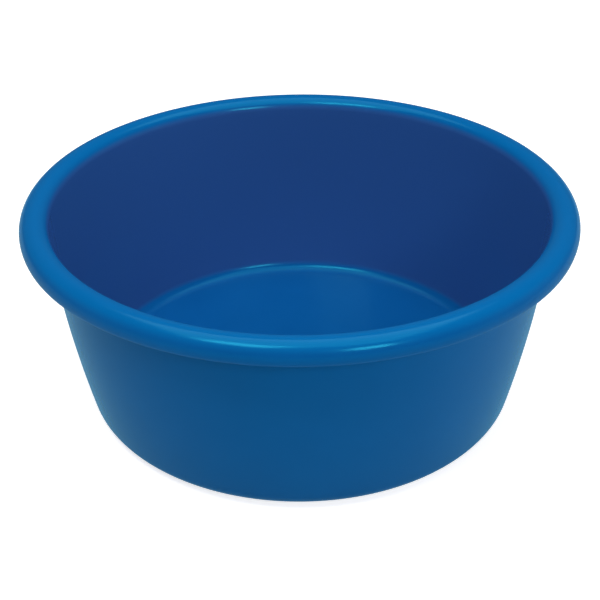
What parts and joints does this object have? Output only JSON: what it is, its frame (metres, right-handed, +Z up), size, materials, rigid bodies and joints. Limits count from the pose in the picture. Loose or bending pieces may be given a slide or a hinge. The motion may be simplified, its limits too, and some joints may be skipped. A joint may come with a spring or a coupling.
{
  "type": "washing up bowl",
  "caption": "Round washing up bowl with a flat floor on a foot ring, a bulging wall and a rolled lip to carry it by; holds water and dishes in a sink.",
  "frame": {"origin": "on the table under the middle of the bowl, in the plane of the foot ring", "axes": "+Z up along the bowl's axis of revolution; +X and +Y are alike"},
  "size_m": [0.32, 0.32, 0.127],
  "materials": {
    "polypropylene": "satin"
  },
  "bodies": {
    "root": {"bowl": "polypropylene"}
  },
  "joints": []
}
